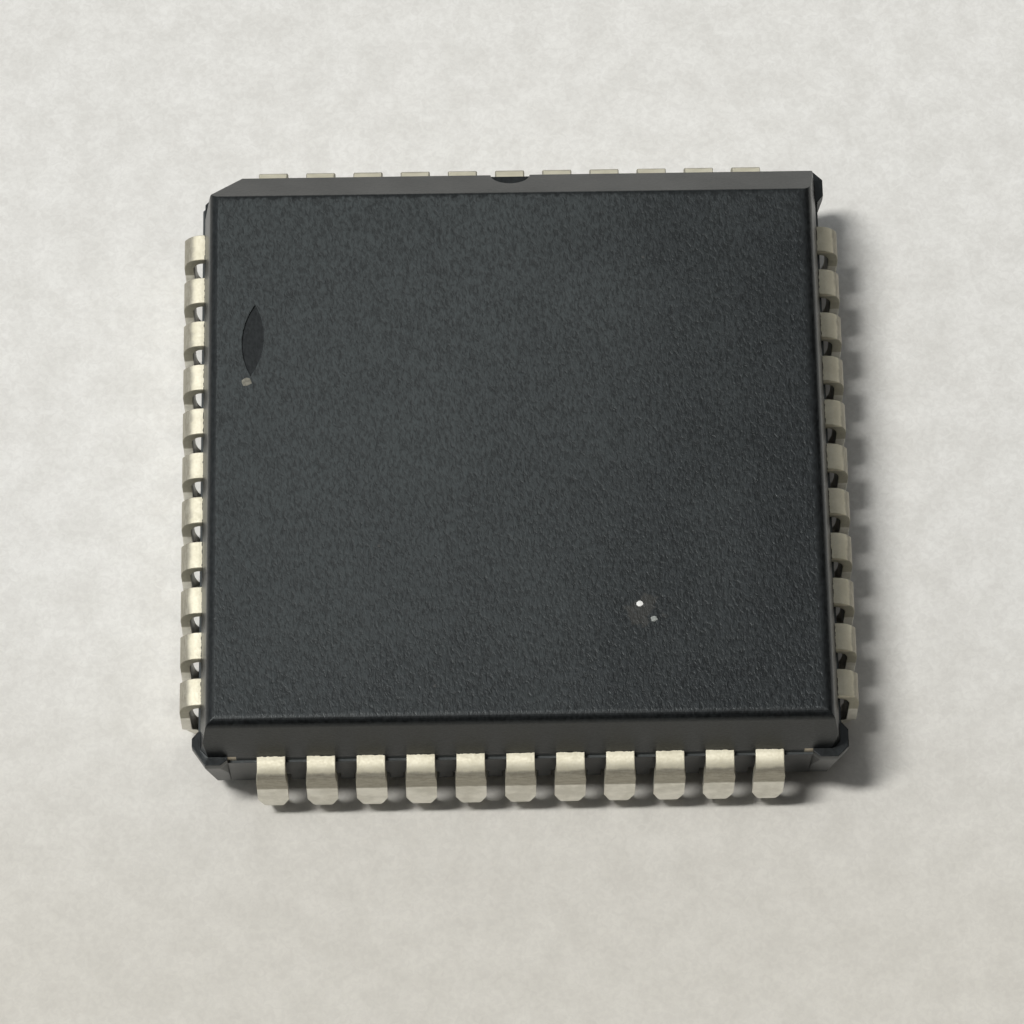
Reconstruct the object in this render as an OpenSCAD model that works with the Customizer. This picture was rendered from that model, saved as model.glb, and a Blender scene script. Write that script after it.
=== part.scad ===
// Plastic leaded chip carrier with 44 J-leads, standing on its leads.
// Millimetres, +Z up. X runs along the front row of leads, +Y points to the side that holds lead 1.
// The origin is the centre of the footprint, on the surface that the leads stand on.

/* [Package] */
// Overall width, across the outer faces of opposite rows of leads
overall_w = 17.44; // [15:0.02:20]
// Distance between neighbouring leads
pitch = 1.27; // [1.15:0.01:1.3]
// Room kept at a corner, from the middle of a side's last lead to the outer faces of the next side's leads
corner_room = 2.3; // [2.2:0.01:2.5]
// Height of the top face above the seating plane
package_h = 4.45; // [4.2:0.01:4.7]
// Clear height under the moulded body
standoff = 0.55; // [0.45:0.01:0.7]
// Height of the upper face of the lead frame, which is the mould's parting plane
frame_top = 2.72; // [2.6:0.01:2.85]

/* [Moulded body] */
// Distance of the corner posts, the widest part of the moulding, inside the outer faces of the leads
post_setback = 0.35; // [0.3:0.01:0.4]
// Distance of the side walls of the upper half inside those faces, at the parting plane
wall_setback = 0.57; // [0.5:0.01:0.65]
// Distance of the edge of the flat underside inside those faces
underside_setback = 0.75; // [0.65:0.01:0.9]
// Draft of the upper side walls, in degrees
draft = 7.8; // [4:0.1:10]
// Radius along the edges of the top face
top_fillet = 0.28; // [0.1:0.02:0.4]
// Width and height of the bevel along the top edge on the side of lead 1
bevel = 1.1; // [0.8:0.02:1.2]
// Radius where that bevel runs into the top face
bevel_fillet = 0.12; // [0.05:0.01:0.3]
// Length cut off the corner beside lead 1, along each side
corner_cut = 0.98; // [0.8:0.02:1.3]
// Length cut off the other three corners of the upper half, along each side
small_corner_cut = 0.2; // [0.1:0.02:0.6]
// Length cut off the outer corner of each corner post, along each side
post_corner_cut = 0.27; // [0.1:0.01:0.4]
// Length worn off the outer corner of the left front post, along the left side
worn_side_cut = 0.51; // [0.3:0.01:0.6]
// Length worn off that corner along the front
worn_front_cut = 0.34; // [0.28:0.01:0.5]
// Width of the slanted flank of each corner post, along the side
post_flank = 0.18; // [0.05:0.01:0.3]
// Radius of the half-round mark for lead 1, cut into the lower edge of the bevel
mark_r = 0.52; // [0.3:0.01:0.7]
// Height of the floor of that mark above the parting plane
mark_floor = 0.5; // [0.4:0.01:0.6]

/* [Pockets under the body] */
// Gap between a lead and each side of its pocket
pocket_gap = 0.06; // [0.03:0.01:0.1]
// Gap between the curled tip of a lead and the inner end of its pocket
pocket_end_gap = 0.18; // [0.1:0.01:0.4]
// Depth of the pockets above the underside
pocket_depth = 0.62; // [0.5:0.01:0.8]
// Diameter of the shallow round mark that the mould's ejector pin leaves under the body
ejector_d = 3.2; // [2:0.1:4]
// Depth of that mark
ejector_depth = 0.06; // [0.03:0.01:0.15]

/* [Dent in the top face] */
// Length of the dent
dent_l = 2.05; // [1:0.05:2.5]
// Width of the dent at its middle
dent_w = 0.57; // [0.3:0.01:0.8]
// Depth of the dent
dent_depth = 0.04; // [0.02:0.01:0.1]
// Distance of the dent's middle to the left of the centre
dent_left = 6.78; // [5:0.01:6.9]
// Distance of the dent's middle behind the centre
dent_back = 2.76; // [1:0.01:4]
// Turn of the dent away from the Y axis, in degrees
dent_turn = -3; // [-15:1:15]

/* [Leads] */
// Thickness of the lead frame
frame_t = 0.25; // [0.2:0.01:0.3]
// Width of a lead where it leaves the body
shoulder_lead_w = 0.72; // [0.66:0.01:0.78]
// Width of the upright leg of a lead
leg_lead_w = 0.79; // [0.74:0.01:0.82]
// Width of the curled end of a lead
tip_lead_w = 0.36; // [0.34:0.01:0.53]
// Outer radius of the bend at the shoulder
shoulder_r = 0.5; // [0.4:0.01:0.56]
// Outer radius of the J-bend at the foot
foot_r = 0.8; // [0.7:0.01:0.9]
// Angle that the J-bend turns through, in degrees
foot_turn = 170; // [140:1:175]
// Drop below the flat part of the lead over which it widens
widen_h = 0.2; // [0.1:0.01:0.5]
// Height above the seating plane at which the leg starts to narrow
narrow_from = 1.1; // [0.9:0.01:1.4]
// Height over which it narrows to the width of the tip
narrow_h = 0.62; // [0.3:0.01:0.8]

/* [Lead frame inside] */
// Length of the straight part of each lead inside the wall
anchor_l = 0.95; // [0.6:0.01:1.2]
// Width of the square paddle under the die
paddle_w = 6; // [5.4:0.1:6.4]
// Distance that the paddle lies below the plane of the leads
downset = 0.2; // [0.1:0.01:0.3]
// Gap between the paddle and the tips of the inner leads
finger_gap = 0.5; // [0.3:0.01:0.8]
// Width of the tip of an inner lead
finger_tip_w = 0.3; // [0.2:0.01:0.34]
// Distance between the tips of neighbouring inner leads
finger_pitch = 0.56; // [0.5:0.01:0.58]
// Width of the tie bars that hold the paddle
tie_w = 0.22; // [0.2:0.01:0.34]
// Gap between the last lead of a side and the cut end of a tie bar
tie_gap = 0.53; // [0.4:0.01:0.6]
// Length of the slope where a tie bar comes down to the paddle
tie_slope = 0.4; // [0.3:0.01:0.8]

/* [Die and wires] */
// Width of the square silicon die
die_w = 4.4; // [3.6:0.1:5]
// Thickness of the die
die_t = 0.38; // [0.25:0.01:0.5]
// Thickness of the adhesive layer under the die
attach_t = 0.03; // [0.02:0.01:0.06]
// Distance that the adhesive shows around the die
attach_rim = 0.15; // [0.05:0.01:0.25]
// Diameter of the bond wires
wire_d = 0.03; // [0.02:0.005:0.05]
// Height of a wire's arch above the straight line between its ends
wire_arch = 0.36; // [0.25:0.01:0.45]
// Distance of the bond pads from the edge of the die
pad_inset = 0.15; // [0.1:0.01:0.3]
// Distance of the bonds from the tips of the inner leads
stitch_inset = 0.2; // [0.1:0.01:0.3]

/* [Hidden] */
$fn = 48;
// Each side has an odd number of leads, so that lead 1 sits at the middle of its side
mid_slot = floor((overall_w / 2 - corner_room) / pitch);
leads_per_side = 2 * mid_slot + 1;
lead_count = 4 * leads_per_side;

function two_digits(n) = str(n < 10 ? "0" : "", n);
function lead_name(n) = str("lead_", two_digits(n));

// Colours
BODY_COLOUR = [0.16, 0.17, 0.18];
TIN_COLOUR = [0.80, 0.77, 0.70];
COPPER_COLOUR = [0.76, 0.55, 0.40];
ADHESIVE_COLOUR = [0.72, 0.72, 0.70];
SILICON_COLOUR = [0.36, 0.38, 0.44];
GOLD_COLOUR = [0.90, 0.74, 0.30];

// Heights
frame_bottom = frame_top - frame_t;
paddle_top = frame_top - downset;
attach_top = paddle_top + attach_t;
die_top = attach_top + die_t;
upper_h = package_h - frame_top;

// Widths across the corner posts, between the upper side walls and of the underside
post_w = overall_w - 2 * post_setback;
wall_w = overall_w - 2 * wall_setback;
underside_w = overall_w - 2 * underside_setback;

// Half-widths measured from the middle of the package.
// The lower half reaches out to where the leads start to bend.
lead_y = overall_w / 2;
post_y = post_w / 2;
wall_y = wall_w / 2;
lower_y = lead_y - shoulder_r;
underside_y = underside_w / 2;
top_y = wall_y - upper_h * tan(draft);
finger_y = paddle_w / 2 + finger_gap;
paddle_corner = paddle_w / 2 * sqrt(2);
knee_y = wall_y - anchor_l;

// Turns from the right back corner to each corner that has a post: all but the one beside lead 1
post_turns = [0, 180, 270];

// Places along a side
last_lead_x = mid_slot * pitch;
tie_x = last_lead_x + shoulder_lead_w / 2 + tie_gap + tie_w / 2;
post_x = tie_x + tie_w / 2;
pad_pitch = (die_w - 2 * pad_inset) / leads_per_side;

// Wall and bevel on the side of lead 1: the bevel rises at 45 degrees from the wall
bevel_foot_z = package_h - bevel;
bevel_foot_y = wall_y - (bevel_foot_z - frame_top) * tan(draft);
bevel_head_y = bevel_foot_y - bevel;

// Sides of a wire's section
wire_sides = 6;

// A length that reaches past everything, for cuts that go right through
beyond = 2 * overall_w;
// A small step past a face that a cut opens onto
past = 0.1;
// A level just below the underside
under = standoff - past;

function arc_points(middle, r, from, to, steps = 8) =
    [for (i = [0:steps]) let (a = from + (to - from) * i / steps) middle + r * [cos(a), sin(a)]];

// Rounds the corner between the flat top (left of the corner) and a face that falls at an angle below it
function top_corner(corner, fall, r) =
    arc_points(corner - r * [tan(fall / 2), 1], r, 90, 90 - fall);

// Draws a Y-Z outline out along X, both ways from the middle
module along_x(length) {
    rotate([90, 0, 90]) linear_extrude(height = length, center = true) children();
}

// Draws an X-Z outline out along Y, both ways from the middle
module along_y(length) {
    rotate([90, 0, 0]) linear_extrude(height = length, center = true) children();
}

// Foot of the upper half's section, which stands on the lower half
function upper_foot_points() = [
    [-wall_y, frame_top],
    [-wall_y, frame_bottom],
    [wall_y, frame_bottom],
    [wall_y, frame_top]
];

// Section of the upper half with the same drafted wall at both sides
module plain_section() {
    right = top_corner([top_y, package_h], 90 - draft, top_fillet);
    left = [for (i = [len(right) - 1:-1:0]) [-right[i][0], right[i][1]]];
    polygon(concat(upper_foot_points(), [for (i = [len(right) - 1:-1:0]) right[i]],
        [for (i = [len(left) - 1:-1:0]) left[i]]));
}

// Section of the upper half with the wide bevel at the right, which is the side of lead 1
module bevelled_section() {
    front = top_corner([top_y, package_h], 90 - draft, top_fillet);
    head = top_corner([bevel_head_y, package_h], 45, bevel_fillet);
    polygon(concat(upper_foot_points(), [[bevel_foot_y, bevel_foot_z]],
        [for (i = [len(head) - 1:-1:0]) head[i]],
        [for (point = front) [-point[0], point[1]]]));
}

// Square with three small corner cuts; the corner beside lead 1 is left square
module square_with_cuts(half, cut) {
    polygon([
        [-half, half],
        [-half, cut - half],
        [cut - half, -half],
        [half - cut, -half],
        [half, cut - half],
        [half, half - cut],
        [half - cut, half]
    ]);
}

// Moulding above the lead frame's lower face
module upper_half() {
    intersection() {
        along_y(beyond) plain_section();
        along_x(beyond) bevelled_section();
        linear_extrude(height = package_h) square_with_cuts(wall_y, small_corner_cut);
    }
}

// Section of the lower half between the corner posts, a little wider than the upper walls
module lower_section() {
    polygon([
        [-lower_y, frame_bottom],
        [-underside_y, standoff],
        [underside_y, standoff],
        [lower_y, frame_bottom]
    ]);
}

// Moulding below the lead frame's lower face
module lower_half() {
    intersection() {
        along_y(beyond) lower_section();
        along_x(beyond) lower_section();
    }
}

// Section of the drafted block that the corner posts are cut from
module post_section() {
    polygon([
        [-post_y, frame_top],
        [-post_y, frame_bottom],
        [-underside_y, standoff],
        [underside_y, standoff],
        [post_y, frame_bottom],
        [post_y, frame_top]
    ]);
}

// Plan of the post at the right back corner: it starts beside the tie bar's cut end, with slanted flanks
module post_outline() {
    polygon([
        [post_x, post_x],
        [post_x, lower_y],
        [post_x + post_flank, post_y],
        [post_y, post_y],
        [post_y, post_x + post_flank],
        [lower_y, post_x]
    ]);
}

// The posts that stand proud below the parting plane
module corner_posts() {
    intersection() {
        along_y(beyond) post_section();
        along_x(beyond) post_section();
        for (turn = post_turns)
            rotate([0, 0, turn]) linear_extrude(height = frame_top) post_outline();
    }
}

// Distance from the middle to the face of a corner cut that takes a length off each of the two sides there
function cut_face_y(cut, next_cut) = (post_y * (cut + next_cut) - cut * next_cut) / norm([cut, next_cut]);

// That face below the lead frame, drafted as the posts are, seen along the face
function lower_cut_points(face_y) = [
    [face_y, frame_bottom],
    [face_y - (frame_bottom - under) * (post_y - underside_y) / (frame_bottom - standoff), under]
];

// Removes a corner below the parting plane; the turn takes the back to the face of the cut
module post_corner(turn, cut, next_cut) {
    face_y = cut_face_y(cut, next_cut);
    cut_top = frame_top + past;
    rotate([0, 0, turn]) along_x(beyond) polygon(concat(
        [[face_y, cut_top]],
        lower_cut_points(face_y),
        [[overall_w, under], [overall_w, cut_top]]
    ));
}

// Removes the corner beside lead 1 over the whole height
module lead_1_corner() {
    upper_y = (2 * wall_y - corner_cut) / sqrt(2);
    face_y = cut_face_y(corner_cut, corner_cut);
    over_top = package_h + past;
    rotate([0, 0, 45]) along_x(beyond) polygon(concat(
        [[upper_y - (over_top - frame_top) * tan(draft), over_top]],
        [[upper_y, frame_top], [face_y, frame_top]],
        lower_cut_points(face_y),
        [[overall_w, under], [overall_w, over_top]]
    ));
}

// Half-round mark for lead 1, cut straight down into the lower edge of the bevel
module lead_1_mark() {
    translate([0, bevel_foot_y, frame_top + mark_floor]) cylinder(r = mark_r, h = package_h);
}

// Shallow dent in the top face, shaped like a slim leaf: two arcs that meet at its ends
module dent() {
    flank_r = (pow(dent_l, 2) + pow(dent_w, 2)) / (4 * dent_w);
    translate([-dent_left, dent_back, package_h - dent_depth]) rotate([0, 0, dent_turn])
        linear_extrude(height = dent_depth + past) intersection() {
            translate([dent_w / 2 - flank_r, 0]) circle(r = flank_r);
            translate([flank_r - dent_w / 2, 0]) circle(r = flank_r);
        }
}

// Open pocket under the wall for the curled end of one lead, drawn on the side of +Y
module pocket() {
    width = leg_lead_w + 2 * pocket_gap;
    inner_y = lead_y - 2 * foot_r - pocket_end_gap;
    translate([-width / 2, inner_y, under]) cube([width, lead_y - inner_y, pocket_depth + past]);
}

// Shallow round mark under the body
module ejector_mark() {
    translate([0, 0, under]) cylinder(d = ejector_d, h = ejector_depth + past);
}

// Places the child at one slot of one side: 0 is the side of lead 1, then counter-clockwise from above
module at_slot(side, slot) {
    rotate([0, 0, 90 * side]) translate([(mid_slot - slot) * pitch, 0, 0]) children();
}

// Repeats what is drawn at the right back corner at all four corners, mirrored from side to side
module at_corners() {
    for (turn = [0, 180])
        rotate([0, 0, turn]) {
            children();
            mirror([1, 0, 0]) children();
        }
}

// Moulded body, with the space that the lead frame, die and wires fill
module moulded_body() {
    color(BODY_COLOUR) difference() {
        union() {
            upper_half();
            lower_half();
            corner_posts();
        }
        lead_1_corner();
        post_corner(-45, post_corner_cut, post_corner_cut);
        post_corner(-135, post_corner_cut, post_corner_cut);
        post_corner(90 + atan2(worn_front_cut, worn_side_cut), worn_side_cut, worn_front_cut);
        lead_1_mark();
        dent();
        ejector_mark();
        for (side = [0:3], slot = [0:leads_per_side - 1]) {
            at_slot(side, slot) pocket();
            rotate([0, 0, 90 * side]) finger(slot);
        }
        paddle_and_ties();
        attach_layer();
        die_block();
        wires(wire_d);
    }
}

// Flat part of a lead, from its tip beside the die out to the shoulder bend
module finger(slot) {
    x = (mid_slot - slot) * pitch;
    tip_x = (mid_slot - slot) * finger_pitch;
    translate([0, 0, frame_bottom]) linear_extrude(height = frame_t) polygon([
        [x - shoulder_lead_w / 2, lead_y - shoulder_r],
        [x - shoulder_lead_w / 2, knee_y],
        [tip_x - finger_tip_w / 2, finger_y],
        [tip_x + finger_tip_w / 2, finger_y],
        [x + shoulder_lead_w / 2, knee_y],
        [x + shoulder_lead_w / 2, lead_y - shoulder_r]
    ]);
}

// A band as thick as the lead frame, bent to an outer radius
module bent_strip(outer_r) {
    difference() {
        circle(r = outer_r);
        circle(r = outer_r - frame_t);
    }
}

// Side view of a lead from the shoulder bend down to the lowest point of its foot
module outer_lead_section() {
    foot_y = lead_y - foot_r;
    shoulder_y = lead_y - shoulder_r;
    shoulder_z = frame_top - shoulder_r;
    intersection() {
        translate([shoulder_y, shoulder_z]) bent_strip(shoulder_r);
        translate([shoulder_y, shoulder_z]) square(shoulder_r);
    }
    translate([lead_y - frame_t, foot_r]) square([frame_t, shoulder_z - foot_r]);
    intersection() {
        translate([foot_y, foot_r]) bent_strip(foot_r);
        translate([foot_y, 0]) square(foot_r);
    }
}

// Side view of the curled end, from the lowest point of the foot to the tip
module curled_end_section() {
    curl = foot_turn - 90;
    reach = 2 * foot_r;
    translate([lead_y - foot_r, foot_r]) intersection() {
        bent_strip(foot_r);
        polygon([[0, 0], [0, -reach], [-reach, -reach], reach * [-sin(curl), -cos(curl)]]);
    }
}

// Front view of a lead: it widens below its flat part and narrows towards the foot
module lead_outline() {
    right = [
        [shoulder_lead_w / 2, frame_top],
        [shoulder_lead_w / 2, frame_bottom],
        [leg_lead_w / 2, frame_bottom - widen_h],
        [leg_lead_w / 2, narrow_from],
        [tip_lead_w / 2, narrow_from - narrow_h],
        [tip_lead_w / 2, 0]
    ];
    polygon(concat(right, [for (i = [len(right) - 1:-1:0]) [-right[i][0], right[i][1]]]));
}

// One J-lead, counted counter-clockwise from the middle of the side of lead 1
module lead(number) {
    place = (number - 1 + mid_slot) % lead_count;
    side = floor(place / leads_per_side);
    slot = place % leads_per_side;
    color(TIN_COLOUR) {
        rotate([0, 0, 90 * side]) finger(slot);
        at_slot(side, slot) {
            intersection() {
                along_x(leg_lead_w) outer_lead_section();
                along_y(beyond) lead_outline();
            }
            along_x(tip_lead_w) curled_end_section();
        }
    }
}

// Side view of a tie bar along the diagonal: up the slope from the paddle to the plane of the leads
module tie_section() {
    slope_from = paddle_corner + tie_w / 2;
    polygon([
        [0, paddle_top - frame_t],
        [slope_from, paddle_top - frame_t],
        [slope_from + tie_slope, frame_bottom],
        [overall_w, frame_bottom],
        [overall_w, frame_top],
        [slope_from + tie_slope, frame_top],
        [slope_from, paddle_top],
        [0, paddle_top]
    ]);
}

// Tie bar from above: out along the diagonal from the paddle, then straight to the back wall
module tie_outline() {
    start = (paddle_corner - tie_w) / sqrt(2) * [1, 1];
    half = tie_w / 2;
    mitre = tie_w / sqrt(2);
    polygon([
        start + half / sqrt(2) * [-1, 1],
        start + half / sqrt(2) * [1, -1],
        [tie_x + half, tie_x + half - mitre],
        [tie_x + half, wall_y],
        [tie_x - half, wall_y],
        [tie_x - half, tie_x - half + mitre]
    ]);
}

module tie_bar() {
    intersection() {
        linear_extrude(height = package_h) tie_outline();
        rotate([0, 0, -45]) along_x(beyond) tie_section();
    }
}

// Paddle with its four tie bars, which run along the diagonals and end at the front and back walls
module paddle_and_ties() {
    difference() {
        union() {
            translate([-paddle_w / 2, -paddle_w / 2, paddle_top - frame_t])
                cube([paddle_w, paddle_w, frame_t]);
            at_corners() tie_bar();
        }
        lead_1_corner();
    }
}

module die_paddle() {
    color(COPPER_COLOUR) paddle_and_ties();
}

// Adhesive layer between the paddle and the die
module attach_layer() {
    width = die_w + 2 * attach_rim;
    translate([-width / 2, -width / 2, paddle_top]) cube([width, width, attach_t]);
}

module die_attach() {
    color(ADHESIVE_COLOUR) attach_layer();
}

module die_block() {
    translate([-die_w / 2, -die_w / 2, attach_top]) cube([die_w, die_w, die_t]);
}

module silicon_die() {
    color(SILICON_COLOUR) die_block();
}

// One bond wire: the arch of a ring from a pad on the die to the tip of an inner lead.
// Its two ends are cut level with the die and the lead, or sink below them by the given depth.
module wire(slot, sink) {
    pad = [(mid_slot - slot) * pad_pitch, die_w / 2 - pad_inset];
    stitch = [(mid_slot - slot) * finger_pitch, finger_y + stitch_inset];
    span = norm(stitch - pad);
    drop = die_top - frame_top;
    chord = norm([span, drop]);
    ring_r = (pow(chord / 2, 2) + pow(wire_arch, 2)) / (2 * wire_arch);
    middle = [span / 2, -drop / 2] - (ring_r - wire_arch) * [drop, span] / chord;
    translate([pad[0], pad[1], die_top])
        rotate([0, 0, atan2(stitch[1] - pad[1], stitch[0] - pad[0])])
            difference() {
                translate([middle[0], 0, middle[1]])
                    rotate([90, 0, 0]) rotate_extrude()
                        translate([ring_r, 0]) circle(d = wire_d, $fn = wire_sides);
                translate([-beyond, -beyond / 2, -drop - sink - beyond]) cube([2 * beyond, beyond, beyond]);
                translate([span / 2 - beyond, -beyond / 2, -sink - beyond]) cube([beyond, beyond, beyond]);
            }
}

module wires(sink) {
    for (side = [0:3], slot = [0:leads_per_side - 1])
        rotate([0, 0, 90 * side]) wire(slot, sink);
}

module bond_wires() {
    color(GOLD_COLOUR) wires(0);
}

moulded_body();
die_paddle();
die_attach();
silicon_die();
bond_wires();
for (number = [1:lead_count])
    lead(number);
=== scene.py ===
"""Looks of a 44-lead plastic leaded chip carrier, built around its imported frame."""
import random

import bmesh
import bpy
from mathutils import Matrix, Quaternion, Vector


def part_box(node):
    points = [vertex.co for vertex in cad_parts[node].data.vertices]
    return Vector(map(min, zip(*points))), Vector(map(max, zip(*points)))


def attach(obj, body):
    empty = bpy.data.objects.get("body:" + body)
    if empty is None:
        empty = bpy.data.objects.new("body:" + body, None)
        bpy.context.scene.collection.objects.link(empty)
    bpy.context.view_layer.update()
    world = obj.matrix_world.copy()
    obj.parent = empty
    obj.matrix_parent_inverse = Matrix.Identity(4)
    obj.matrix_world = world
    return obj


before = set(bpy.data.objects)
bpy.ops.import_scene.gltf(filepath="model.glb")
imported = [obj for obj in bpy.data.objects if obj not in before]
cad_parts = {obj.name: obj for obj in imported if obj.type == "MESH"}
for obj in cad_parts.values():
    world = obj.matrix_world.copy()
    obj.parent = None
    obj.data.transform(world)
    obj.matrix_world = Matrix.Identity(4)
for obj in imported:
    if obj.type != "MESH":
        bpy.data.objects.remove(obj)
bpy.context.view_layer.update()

MM = 0.001

# Camera: place, point that it looks at, turn about its own axis, lens, sensor and nearest distance
CAMERA_AT = Vector((-1.17, -52.15, 119.16)) * MM
CAMERA_AIM = Vector((-0.08, -0.28, 0.0)) * MM
CAMERA_ROLL = 0.00476
CAMERA_LENS = 171.7
CAMERA_SENSOR = 36.0
CAMERA_NEAR = 1.0 * MM

# Lamp: a soft oval high up on the left, narrow from front to back and long from left to right
LAMP_AT = Vector((-250.0, -29.0, 649.0)) * MM
LAMP_WIDTH = 70.0 * MM
LAMP_LENGTH = 220.0 * MM
LAMP_POWER = 3.7
LAMP_COLOUR = (1.0, 0.985, 0.95)

# Surround: dim and warm, and brighter and cooler towards a point high up at the back left; the brightening
# starts where the cosine of the angle to that point has this value
SURROUND_FROM = Vector((-0.55, 0.55, 0.63)).normalized()
SURROUND_START = -0.1
SURROUND_DIM = 0.03
SURROUND_DIM_COLOUR = (1.0, 0.95, 0.88)
SURROUND_BRIGHT = 0.48
SURROUND_BRIGHT_COLOUR = (0.94, 0.98, 1.0)

# Floor: its size, and the stretch over which the paper is painted darker and warmer towards the front, as
# painted shade
FLOOR_SIZE = 900.0 * MM
FRONT_SHADE_START = 0.0 * MM
FRONT_SHADE_FULL = -14.0 * MM
PAPER_WHITE = (0.835, 0.832, 0.81)
PAPER_PAINTED_SHADE = (0.705, 0.685, 0.635)
# Mottle and fibres of the paper: size, colour and the most of it that shows
MOTTLE_SIZE = 1.0 * MM
MOTTLE_COLOUR = (0.42, 0.40, 0.36)
MOTTLE_SHARE = 0.19
FIBRE_SIZE = 0.16 * MM
FIBRE_COLOUR = (0.42, 0.40, 0.38)
FIBRE_SHARE = 0.18
# Relief of the paper: size of its bumps and their height
TOOTH_SIZE = 0.4 * MM
TOOTH_RELIEF = 0.012 * MM

# Flat top face of the body: its height, how level its points are, and its right and back rims
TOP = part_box("moulded_body")[1].z
LEVEL = 0.001 * MM
FLAT_TOP = [v.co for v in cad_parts["moulded_body"].data.vertices if v.co.z > TOP - LEVEL]
RIGHT_RIM = max(p.x for p in FLAT_TOP)
BACK_RIM = max(p.y for p in FLAT_TOP)

# Grain of the top face: size and stretch of its bumps, their height, and the share of that on the walls
GRAIN_SIZE = 0.08 * MM
GRAIN_STRETCH = (1.0, 0.5, 1.0)
GRAIN_RELIEF = 0.02 * MM
WALL_RELIEF = 0.25
# Values of the grain that count as a pit and as a bump
PIT = 0.32
BUMP = 0.68
# Depths below the top face down to which the grain is whole and at which it has gone, and how they waver
GRAIN_WHOLE = 0.0028 * MM
GRAIN_GONE = 0.006 * MM
WAVER = 0.002 * MM
WAVER_SIZE = 0.25 * MM
# Smooth strip inside two rims of the top face: its greatest width, how softly it ends, and its ragged patches
STRIP_WIDTH = 0.10 * MM
STRIP_BLUR = 0.05 * MM
STRIP_PATCH = 0.15 * MM
# Colours of pits and bumps: on the top face, plain and painted paler as painted light towards the back left,
# and on the walls
PIT_TOP_PLAIN = (0.0020, 0.0027, 0.0030)
PIT_TOP_PAINTED_LIGHT = (0.0130, 0.0150, 0.0155)
BUMP_TOP_PLAIN = (0.0090, 0.0115, 0.0130)
BUMP_TOP_PAINTED_LIGHT = (0.0440, 0.0520, 0.0540)
PIT_WALL = (0.0012, 0.0016, 0.0019)
BUMP_WALL = (0.0105, 0.0120, 0.0130)
# Roughness of the top face, plain and at its paler back left, and of the walls, and how much it changes with
# the grain
ROUGH_TOP_PLAIN = 0.42
ROUGH_TOP_BACK_LEFT = 0.58
ROUGH_WALL_LEAST = 0.31
ROUGH_WALL_MOST = 0.39
ROUGH_GRAIN = 0.08

# Part of the top face painted paler as painted light, towards the back left: its middle, how far out it is
# painted most and at all, and its patches
PAINTED_LIGHT_AT = Vector((-5.5 * MM, 3.5 * MM, TOP))
PAINTED_LIGHT_CORE = 3.2 * MM
PAINTED_LIGHT_REACH = 16.0 * MM
PATCH_SIZE = 3.0 * MM
PATCH_SHARE = 0.15

# Brownish stain on the top face: its middle, how far out it is whole and ends, its ragged edge and strength
STAIN_AT = Vector((3.21 * MM, -4.99 * MM, TOP))
STAIN_CORE = 0.252 * MM
STAIN_REACH = 0.42 * MM
STAIN_RAGGED = 0.252 * MM
STAIN_PATCH = 0.3 * MM
STAIN_SHARE = 0.7
STAIN_COLOUR = (0.0330, 0.0310, 0.0270)

# Ledge under the upper half, painted paler as painted light against the shade there: its height, how far up
# the wall the paler colour reaches and how softly it ends
LEDGE_AT = 2.47 * MM
LEDGE_PAINTED_REACH = 0.10 * MM
LEDGE_BLUR = 0.03 * MM
LEDGE_PAINTED_LIGHT = (0.0520, 0.0570, 0.0580)

# Radius that edges seem rounded to, and the samples that round them
BODY_EDGE = 0.035 * MM
LEAD_EDGE = 0.03 * MM
EDGE_SAMPLES = 6

# Zones of a lead: a darker band between these heights, with ragged and soft ends
BAND_LOW = 1.86 * MM
BAND_HIGH = 2.56 * MM
ZONE_BLUR = 0.04 * MM
ZONE_RAGGED = 0.016 * MM
ZONE_PATCH = 0.3 * MM
# On the left row the darker band is painted this much higher, as painted shade for how the light falls on
# that row
LEFT_ROW_SHADE_RISE = 0.09 * MM
# Colours of foot, band and shoulder, and of the band on the sheared sides
FOOT_DULL = (0.70, 0.68, 0.61)
FOOT_BRIGHT = (0.88, 0.86, 0.79)
BAND_DULL = (0.43, 0.405, 0.34)
BAND_BRIGHT = (0.54, 0.515, 0.44)
BAND_SHEARED = (0.50, 0.48, 0.40)
SHOULDER_DULL = (0.79, 0.755, 0.625)
SHOULDER_BRIGHT = (0.88, 0.845, 0.715)
# Streaks in the band: size, and stretch along the floor
STREAK_SIZE = 0.04 * MM
STREAK_STRETCH = (0.15, 0.15, 1.0)
# How squarely a face of a lead looks along its row, from 0 to 1: up to the first value it counts as rolled,
# and from the second on as sheared
ROLLED = 0.6
SHEARED = 0.8
# Fine bumps of the tin, and its roughness on the feet and above them
TIN_SIZE = 0.06 * MM
ROUGH_FOOT = 0.52
ROUGH_LEAD = 0.70

# Resin on the roots of the leads: half-width of the body there, how far out from it the resin is whole and
# has gone, and its ragged edge
ROOT_AT = 8.15 * MM
RESIN_WHOLE = 0.0024 * MM
RESIN_GONE = 0.0072 * MM
RESIN_CREEP = 0.012 * MM
RESIN_PATCH = 0.12 * MM
RESIN_COLOUR = (0.035, 0.034, 0.030)

# Metals: size of their cloudy patches and of the bumps on those inside, how much their roughness changes,
# and the height of their bumps
CLOUD_SIZE = 0.5 * MM
METAL_SIZE = 0.08 * MM
METAL_ROUGH = 0.06
METAL_RELIEF = 0.003 * MM

# Flakes in the adhesive and circuit blocks on the die: size, and the values between which they change
FLAKE_SIZE = 0.02 * MM
FLAKE_LOW = 0.4
FLAKE_HIGH = 0.6
BLOCK_SIZE = 0.25 * MM
BLOCK_LOW = 0.1
BLOCK_HIGH = 0.6

# Grains of dirt: the least and most that a point moves out, and the distance at which points are joined
RAGGED_LEAST = 0.82
RAGGED_MOST = 1.12
JOINED = 0.0005 * MM

# Values that most of a noise lies between
NOISE_LOW = 0.3
NOISE_HIGH = 0.7


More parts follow.
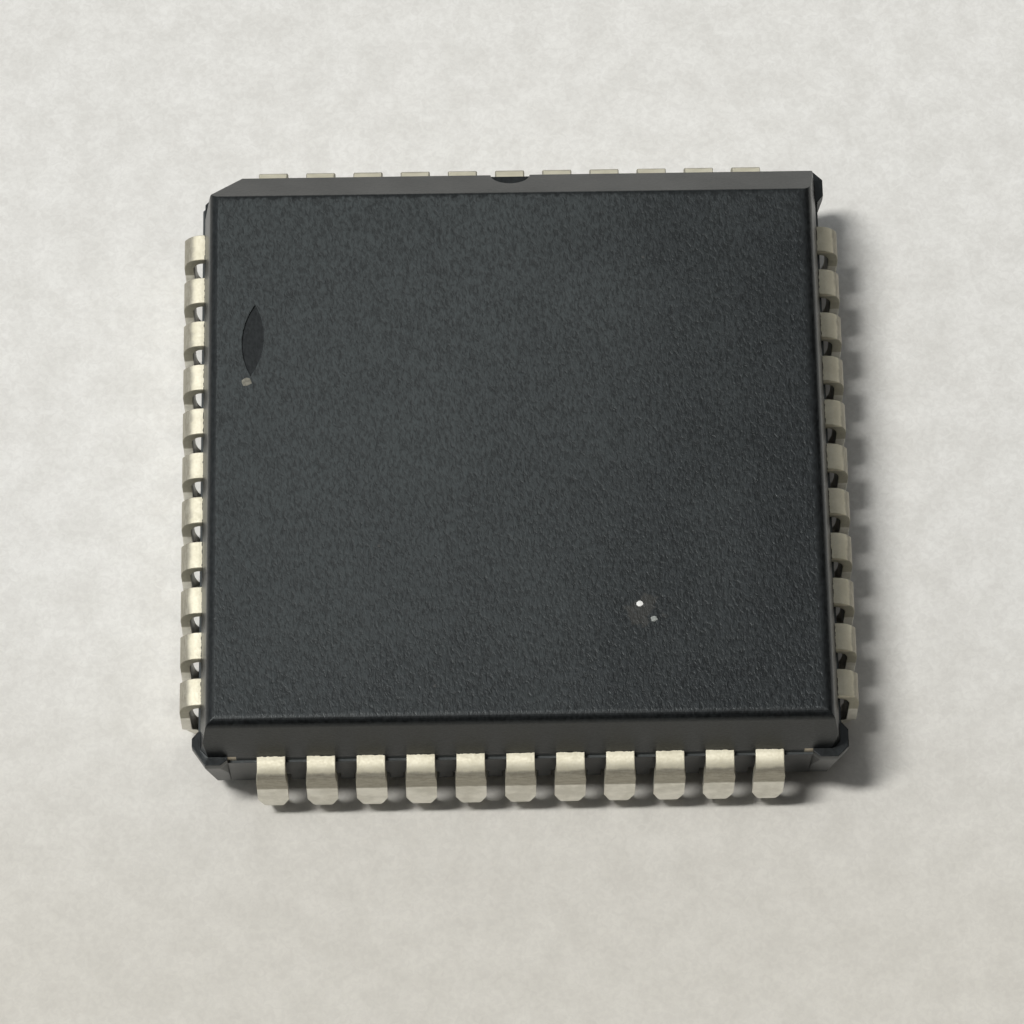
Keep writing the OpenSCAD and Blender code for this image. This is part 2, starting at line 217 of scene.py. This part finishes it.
def plug(tree, socket, value):
    """Sets one input to a value, or feeds it from another socket."""
    if isinstance(value, bpy.types.NodeSocket):
        tree.links.new(value, socket)
    else:
        socket.default_value = value


def feed(tree, node, inputs):
    """Sets or feeds inputs of a node by their names or numbers."""
    for name, value in inputs.items():
        plug(tree, node.inputs[name], value)


def add(tree, kind, inputs=None, **settings):
    """Adds a shader node with its settings and inputs."""
    node = tree.nodes.new(kind)
    for name, value in settings.items():
        setattr(node, name, value)
    feed(tree, node, inputs or {})
    return node


def new_material(name):
    """A material with its nodes and shader, and the place of each surface point as a socket."""
    material = bpy.data.materials.new(name)
    material.use_nodes = True
    tree = material.node_tree
    place = add(tree, "ShaderNodeTexCoord").outputs["Object"]
    return material, tree, tree.nodes["Principled BSDF"], place


def noise(tree, place, size, detail=3.0, roughness=0.55, distortion=0.0):
    """Cloudy values from 0 to 1, with patches of about the given size."""
    return add(tree, "ShaderNodeTexNoise",
               {"Vector": place, "Scale": 1.0 / size, "Detail": detail, "Roughness": roughness,
                "Distortion": distortion}).outputs["Fac"]


def stretched(tree, place, scale):
    """The same place, squeezed along each axis by the given factors."""
    return add(tree, "ShaderNodeVectorMath", {0: place, 1: scale}, operation="MULTIPLY").outputs["Vector"]


def remap(tree, value, low, high, to_low=0.0, to_high=1.0):
    """Maps low to high smoothly onto another span, and holds it there."""
    return add(tree, "ShaderNodeMapRange",
               {"Value": value, "From Min": low, "From Max": high, "To Min": to_low, "To Max": to_high},
               interpolation_type="SMOOTHSTEP").outputs["Result"]


def vary(tree, cloud, low=0.0, high=1.0):
    """A value that goes from low to high with a noise."""
    return remap(tree, cloud, NOISE_LOW, NOISE_HIGH, low, high)


def compute(tree, operation, a, b=0.0):
    """One sum, product, comparison or magnitude."""
    return add(tree, "ShaderNodeMath", {0: a, 1: b}, operation=operation).outputs["Value"]


def magnitude(tree, value):
    """A value without its sign."""
    return compute(tree, "ABSOLUTE", value)


def mix_values(tree, share, a, b):
    """A value from a to b by share."""
    return compute(tree, "ADD", compute(tree, "MULTIPLY", compute(tree, "SUBTRACT", 1.0, share), a),
                   compute(tree, "MULTIPLY", share, b))


def mix_colours(tree, share, a, b):
    """A colour from a to b by share; a and b are colours or sockets."""
    node = tree.nodes.new("ShaderNodeMix")
    node.data_type = "RGBA"
    sockets = [s for s in node.inputs if s.enabled]
    for socket, value in zip(sockets, (share, a, b)):
        plug(tree, socket, (*value, 1.0) if isinstance(value, tuple) else value)
    return next(s for s in node.outputs if s.enabled)


def relief(tree, shader, height, depth, strength=1.0, edge=0.0):
    """Relief of the given depth on a shader, on edges rounded to a radius."""
    inputs = {"Height": height, "Distance": depth, "Strength": strength}
    if edge:
        rounded = add(tree, "ShaderNodeBevel", {"Radius": edge}, samples=EDGE_SAMPLES)
        inputs["Normal"] = rounded.outputs["Normal"]
    feed(tree, shader, {"Normal": add(tree, "ShaderNodeBump", inputs).outputs["Normal"]})


def axes(tree, vector):
    """The X, Y and Z of a place or direction, as sockets."""
    return add(tree, "ShaderNodeSeparateXYZ", {0: vector}).outputs


def distance_from(tree, place, point):
    """Distance of a surface point from another point."""
    return add(tree, "ShaderNodeVectorMath", {0: place, 1: point}, operation="DISTANCE").outputs["Value"]


def off_centre(tree, place):
    """Distance of a surface point from the part's upright middle line, square to its sides."""
    spot = axes(tree, place)
    return compute(tree, "MAXIMUM", magnitude(tree, spot["X"]), magnitude(tree, spot["Y"]))


def inside_rim(tree, place):
    """Distance of a surface point inside the right and back rims of the flat top face."""
    spot = axes(tree, place)
    return compute(tree, "MINIMUM", compute(tree, "SUBTRACT", RIGHT_RIM, spot["X"]),
                   compute(tree, "SUBTRACT", BACK_RIM, spot["Y"]))


def grainy_part(tree, place, height):
    """1 on the grainy part of the top face, and 0 on its smooth strips, the bevel and the walls."""
    on_top = remap(tree, height, TOP - GRAIN_GONE, TOP - GRAIN_WHOLE)
    strip = vary(tree, noise(tree, place, STRIP_PATCH), 0.0, STRIP_WIDTH)
    inside = compute(tree, "SUBTRACT", inside_rim(tree, place), strip)
    return compute(tree, "MULTIPLY", on_top, remap(tree, inside, -STRIP_BLUR, STRIP_BLUR))


def painted_light_part(tree, place, patches):
    """Painted light: from 1 at the middle of the part painted paler, at the back left of the top face, down
    to 0, more or less by patches.
    """
    near = remap(tree, distance_from(tree, place, PAINTED_LIGHT_AT), PAINTED_LIGHT_REACH, PAINTED_LIGHT_CORE)
    return compute(tree, "ADD", near, vary(tree, patches, -PATCH_SHARE, PATCH_SHARE))


def ledge_painted_light_part(tree, height):
    """1 along the ledge, where a paler colour is painted as painted light against the shade there."""
    painted_top = LEDGE_AT + LEDGE_PAINTED_REACH
    return compute(tree, "MULTIPLY", remap(tree, height, LEDGE_AT - LEDGE_BLUR, LEDGE_AT),
                   remap(tree, height, painted_top + LEDGE_BLUR, painted_top - LEDGE_BLUR))


def stained_part(tree, place):
    """1 on the stain, with a ragged edge."""
    ragged = vary(tree, noise(tree, place, STAIN_PATCH), -STAIN_RAGGED, STAIN_RAGGED)
    spread = compute(tree, "ADD", distance_from(tree, place, STAIN_AT), ragged)
    return remap(tree, spread, STAIN_REACH, STAIN_CORE)


def moulding_compound():
    """Black filled epoxy: a grainy top face with one stain, painted paler towards the back left as painted
    light, and smoother walls, bevel and edges.
    """
    material, tree, shader, place = new_material("moulding_compound")
    waver = vary(tree, noise(tree, place, WAVER_SIZE), -WAVER, WAVER)
    height = compute(tree, "ADD", axes(tree, place)["Z"], waver)
    patches = noise(tree, place, PATCH_SIZE, detail=4.0)
    grain = noise(tree, stretched(tree, place, GRAIN_STRETCH), GRAIN_SIZE, roughness=0.6, distortion=0.5)
    grainy = grainy_part(tree, place, height)
    # Painted light: share of the top face painted paler, highest at the back left; it also raises the
    # roughness there
    painted_light = painted_light_part(tree, place, patches)

    bumps = remap(tree, grain, PIT, BUMP)
    # Painted light: pits and bumps are painted paler towards the back left
    top = mix_colours(tree, bumps, mix_colours(tree, painted_light, PIT_TOP_PLAIN, PIT_TOP_PAINTED_LIGHT),
                      mix_colours(tree, painted_light, BUMP_TOP_PLAIN, BUMP_TOP_PAINTED_LIGHT))
    wall = mix_colours(tree, bumps, PIT_WALL, BUMP_WALL)
    # Painted light: the ledge is painted paler to lift the shade along it
    wall = mix_colours(tree, ledge_painted_light_part(tree, height), wall, LEDGE_PAINTED_LIGHT)
    tone = mix_colours(tree, grainy, wall, top)
    stain = compute(tree, "MULTIPLY", stained_part(tree, place), STAIN_SHARE)
    tone = mix_colours(tree, stain, tone, STAIN_COLOUR)

    wall_rough = vary(tree, patches, ROUGH_WALL_LEAST, ROUGH_WALL_MOST)
    top_rough = compute(tree, "ADD", mix_values(tree, painted_light, ROUGH_TOP_PLAIN, ROUGH_TOP_BACK_LEFT),
                        vary(tree, grain, -ROUGH_GRAIN, ROUGH_GRAIN))
    feed(tree, shader, {"Base Color": tone, "Roughness": mix_values(tree, grainy, wall_rough, top_rough),
                        "IOR": 1.52, "Specular IOR Level": 0.42, "Specular Tint": (0.92, 0.98, 1.0, 1.0)})
    strength = remap(tree, grainy, 0.0, 1.0, WALL_RELIEF, 1.0)
    relief(tree, shader, grain, GRAIN_RELIEF, strength, BODY_EDGE)
    return material


def sheared_part(tree, place):
    """1 on the sheared sides of a lead, which face along its row, and 0 on its rolled faces."""
    spot = axes(tree, place)
    facing = axes(tree, add(tree, "ShaderNodeNewGeometry").outputs["Normal"])
    left_or_right = compute(tree, "GREATER_THAN", magnitude(tree, spot["X"]), magnitude(tree, spot["Y"]))
    along = mix_values(tree, left_or_right, magnitude(tree, facing["X"]), magnitude(tree, facing["Y"]))
    return remap(tree, along, ROLLED, SHEARED)


def resin_part(tree, place):
    """1 on the thin resin that has crept out along the root of a lead, with a ragged edge."""
    creep = vary(tree, noise(tree, place, RESIN_PATCH), -RESIN_CREEP, RESIN_CREEP)
    out = compute(tree, "ADD", off_centre(tree, place), creep)
    return remap(tree, out, ROOT_AT + RESIN_GONE, ROOT_AT + RESIN_WHOLE)


def tin_plate():
    """Matt tin over the formed leads: bright shoulders, a darker band, and paler feet."""
    material, tree, shader, place = new_material("tin_plate")
    cloud = vary(tree, noise(tree, place, CLOUD_SIZE, detail=4.0))
    fine = noise(tree, place, TIN_SIZE)
    streaks = vary(tree, noise(tree, stretched(tree, place, STREAK_STRETCH), STREAK_SIZE, detail=2.0))
    spot = axes(tree, place)
    ragged = vary(tree, noise(tree, place, ZONE_PATCH), -ZONE_RAGGED, ZONE_RAGGED)
    height = compute(tree, "ADD", spot["Z"], ragged)
    above_feet = remap(tree, height, BAND_LOW - ZONE_BLUR, BAND_LOW + ZONE_BLUR)
    # Painted shade: the darker band reaches higher on the left row only
    left_row = compute(tree, "LESS_THAN", spot["X"], -ROOT_AT)
    lowered = compute(tree, "SUBTRACT", height, compute(tree, "MULTIPLY", left_row, LEFT_ROW_SHADE_RISE))
    on_shoulder = remap(tree, lowered, BAND_HIGH - ZONE_BLUR, BAND_HIGH + ZONE_BLUR)

    foot = mix_colours(tree, cloud, FOOT_DULL, FOOT_BRIGHT)
    band = mix_colours(tree, streaks, BAND_DULL, BAND_BRIGHT)
    band = mix_colours(tree, sheared_part(tree, place), band, BAND_SHEARED)
    shoulder = mix_colours(tree, cloud, SHOULDER_DULL, SHOULDER_BRIGHT)
    tone = mix_colours(tree, on_shoulder, mix_colours(tree, above_feet, foot, band), shoulder)
    tone = mix_colours(tree, resin_part(tree, place), tone, RESIN_COLOUR)

    rough = compute(tree, "ADD", mix_values(tree, above_feet, ROUGH_FOOT, ROUGH_LEAD),
                    vary(tree, fine, -METAL_ROUGH, METAL_ROUGH))
    feed(tree, shader, {"Base Color": tone, "Roughness": rough, "Metallic": 1.0})
    relief(tree, shader, fine, METAL_RELIEF, edge=LEAD_EDGE)
    return material


def plain_metal(name, dark, light, rough):
    """Metal with a cloudy finish, for the pieces inside."""
    material, tree, shader, place = new_material(name)
    cloud = noise(tree, place, CLOUD_SIZE)
    feed(tree, shader, {"Base Color": mix_colours(tree, vary(tree, cloud), dark, light),
                        "Roughness": vary(tree, cloud, rough - METAL_ROUGH, rough + METAL_ROUGH),
                        "Metallic": 1.0})
    relief(tree, shader, noise(tree, place, METAL_SIZE), METAL_RELIEF)
    return material


def silver_adhesive():
    """Grey epoxy filled with silver flakes."""
    material, tree, shader, place = new_material("silver_adhesive")
    flakes = noise(tree, place, FLAKE_SIZE, detail=2.0)
    share = remap(tree, flakes, FLAKE_LOW, FLAKE_HIGH)
    feed(tree, shader, {"Base Color": mix_colours(tree, share, (0.30, 0.30, 0.29), (0.62, 0.62, 0.60)),
                        "Roughness": remap(tree, flakes, FLAKE_LOW, FLAKE_HIGH, to_low=0.65, to_high=0.35),
                        "Metallic": 0.5})
    return material


def polished_silicon():
    """Blue-grey polished silicon with faint rows of circuit blocks."""
    material, tree, shader, place = new_material("polished_silicon")
    blocks = add(tree, "ShaderNodeTexVoronoi", {"Vector": place, "Scale": 1.0 / BLOCK_SIZE},
                 distance="CHEBYCHEV").outputs["Distance"]
    share = remap(tree, blocks, BLOCK_LOW, BLOCK_HIGH)
    feed(tree, shader, {"Base Color": mix_colours(tree, share, (0.10, 0.11, 0.15), (0.20, 0.20, 0.22)),
                        "Roughness": remap(tree, blocks, BLOCK_LOW, BLOCK_HIGH, to_low=0.12, to_high=0.22),
                        "Metallic": 0.6})
    return material


def matt(name, dark, light, patch, depth):
    """A matt, cloudy surface for dirt, with bumps a tenth of its patches in size."""
    material, tree, shader, place = new_material(name)
    cloud = noise(tree, place, patch, detail=5.0)
    feed(tree, shader, {"Base Color": mix_colours(tree, vary(tree, cloud), dark, light),
                        "Roughness": vary(tree, cloud, low=0.85, high=0.95), "Specular IOR Level": 0.2})
    relief(tree, shader, noise(tree, place, 0.1 * patch), depth)
    return material


def white_paper():
    """Matt paper, white at the back and painted darker and warmer at the front as painted shade, faintly
    mottled.
    """
    material, tree, shader, place = new_material("white_paper")
    # Painted shade: the paper is painted darker and warmer towards the front
    front_shade = remap(tree, axes(tree, place)["Y"], FRONT_SHADE_START, FRONT_SHADE_FULL)
    tone = mix_colours(tree, front_shade, PAPER_WHITE, PAPER_PAINTED_SHADE)
    mottle = noise(tree, place, MOTTLE_SIZE, detail=5.0, roughness=0.6)
    tone = mix_colours(tree, vary(tree, mottle, 0.0, MOTTLE_SHARE), tone, MOTTLE_COLOUR)
    fibres = noise(tree, place, FIBRE_SIZE, roughness=0.6, distortion=0.8)
    tone = mix_colours(tree, vary(tree, fibres, 0.0, FIBRE_SHARE), tone, FIBRE_COLOUR)
    feed(tree, shader, {"Base Color": tone, "Roughness": 0.9, "Specular IOR Level": 0.2})
    relief(tree, shader, noise(tree, place, TOOTH_SIZE), TOOTH_RELIEF)
    return material


def dress_frame():
    """Gives each solid of the frame its material; all but the few named here are leads."""
    material_of = {
        "moulded_body": moulding_compound(),
        "die_paddle": plain_metal("copper_alloy", (0.50, 0.44, 0.35), (0.60, 0.54, 0.44), rough=0.5),
        "die_attach": silver_adhesive(),
        "silicon_die": polished_silicon(),
        "bond_wires": plain_metal("gold", (0.86, 0.62, 0.22), (0.95, 0.74, 0.32), rough=0.25),
    }
    tin = tin_plate()
    for name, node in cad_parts.items():
        node.data.materials.clear()
        node.data.materials.append(material_of.get(name, tin))


def show(name, mesh, material):
    """A mesh with its material, in the scene."""
    thing = bpy.data.objects.new(name, mesh)
    bpy.context.scene.collection.objects.link(thing)
    mesh.materials.append(material)
    return thing


def crumb(name, at, size, material, seed):
    """A ragged grain of dirt that lies on the top face: place and size in mm."""
    dice = random.Random(seed)
    grain = bmesh.new()
    bmesh.ops.create_icosphere(grain, subdivisions=2, radius=0.5)
    for vertex in grain.verts:
        vertex.co *= dice.uniform(RAGGED_LEAST, RAGGED_MOST)
        vertex.co = Vector(a * b for a, b in zip(vertex.co, size)) * MM
        vertex.co.z = max(vertex.co.z, 0.0)
    bmesh.ops.dissolve_degenerate(grain, edges=grain.edges, dist=JOINED)
    mesh = bpy.data.meshes.new(name)
    grain.to_mesh(mesh)
    grain.free()
    piece = show(name, mesh, material)
    piece.location = Vector((at[0] * MM, at[1] * MM, TOP))
    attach(piece, "root")


def scatter_dirt():
    """The specks that the photograph shows on the top face."""
    white = matt("white_grain", (0.80, 0.80, 0.78), (0.95, 0.95, 0.93), patch=0.2 * MM, depth=0.004 * MM)
    grey = matt("grey_grain", (0.26, 0.28, 0.27), (0.42, 0.44, 0.42), patch=0.1 * MM, depth=0.004 * MM)
    beige = matt("beige_flake", (0.16, 0.155, 0.13), (0.27, 0.26, 0.22), patch=0.1 * MM, depth=0.004 * MM)
    dust = matt("grey_dust", (0.05, 0.052, 0.052), (0.10, 0.10, 0.10), patch=0.05 * MM, depth=0.002 * MM)
    crumb("white_speck", at=(3.087, -4.814), size=(0.17, 0.17, 0.07), material=white, seed=3)
    crumb("grey_speck", at=(3.431, -5.231), size=(0.19, 0.15, 0.06), material=grey, seed=5)
    crumb("flake", at=(-6.94, 1.569), size=(0.27, 0.26, 0.03), material=beige, seed=7)
    crumb("dust_left", at=(-3.534, -3.106), size=(0.09, 0.08, 0.03), material=dust, seed=9)
    crumb("dust_front", at=(-2.144, -6.969), size=(0.08, 0.09, 0.03), material=dust, seed=11)
    crumb("dust_back", at=(3.433, 5.021), size=(0.09, 0.08, 0.03), material=dust, seed=13)


def lay_floor():
    """One large sheet of paper under the part."""
    mesh = bpy.data.meshes.new("floor")
    half = FLOOR_SIZE / 2
    corners = [(-half, -half, 0), (half, -half, 0), (half, half, 0), (-half, half, 0)]
    mesh.from_pydata(corners, [], [(0, 1, 2, 3)])
    show("floor", mesh, white_paper())


def aim(thing, target, roll=0.0):
    """Turns a camera or lamp at its place to look at a point."""
    turn = (target - thing.location).to_track_quat("-Z", "Y")
    thing.rotation_mode = "QUATERNION"
    thing.rotation_quaternion = turn @ Quaternion((0, 0, 1), roll)


def set_lamp():
    """The soft lamp, aimed at the part's origin."""
    lamp = bpy.data.lights.new("lamp", "AREA")
    lamp.shape = "ELLIPSE"
    lamp.size = LAMP_WIDTH
    lamp.size_y = LAMP_LENGTH
    lamp.energy = LAMP_POWER
    lamp.color = LAMP_COLOUR
    holder = bpy.data.objects.new("lamp", lamp)
    holder.location = LAMP_AT
    bpy.context.scene.collection.objects.link(holder)
    aim(holder, Vector((0, 0, 0)))


def set_surround():
    """A room that is brighter towards one side."""
    world = bpy.data.worlds.new("surround")
    world.use_nodes = True
    tree = world.node_tree
    direction = add(tree, "ShaderNodeTexCoord").outputs["Generated"]
    towards = add(tree, "ShaderNodeVectorMath", {0: direction, 1: SURROUND_FROM}, operation="DOT_PRODUCT")
    share = remap(tree, towards.outputs["Value"], SURROUND_START, 1.0)
    feed(tree, tree.nodes["Background"],
         {"Color": mix_colours(tree, share, SURROUND_DIM_COLOUR, SURROUND_BRIGHT_COLOUR),
          "Strength": mix_values(tree, share, SURROUND_DIM, SURROUND_BRIGHT)})
    bpy.context.scene.world = world


def set_camera():
    """The camera at the photograph's angle."""
    data = bpy.data.cameras.new("camera")
    data.sensor_width = CAMERA_SENSOR
    data.lens = CAMERA_LENS
    data.clip_start = CAMERA_NEAR
    camera = bpy.data.objects.new("camera", data)
    camera.location = CAMERA_AT
    bpy.context.scene.collection.objects.link(camera)
    aim(camera, CAMERA_AIM, CAMERA_ROLL)
    bpy.context.scene.camera = camera


dress_frame()
scatter_dirt()
lay_floor()
set_lamp()
set_surround()
set_camera()
bpy.context.scene.view_settings.view_transform = "Standard"
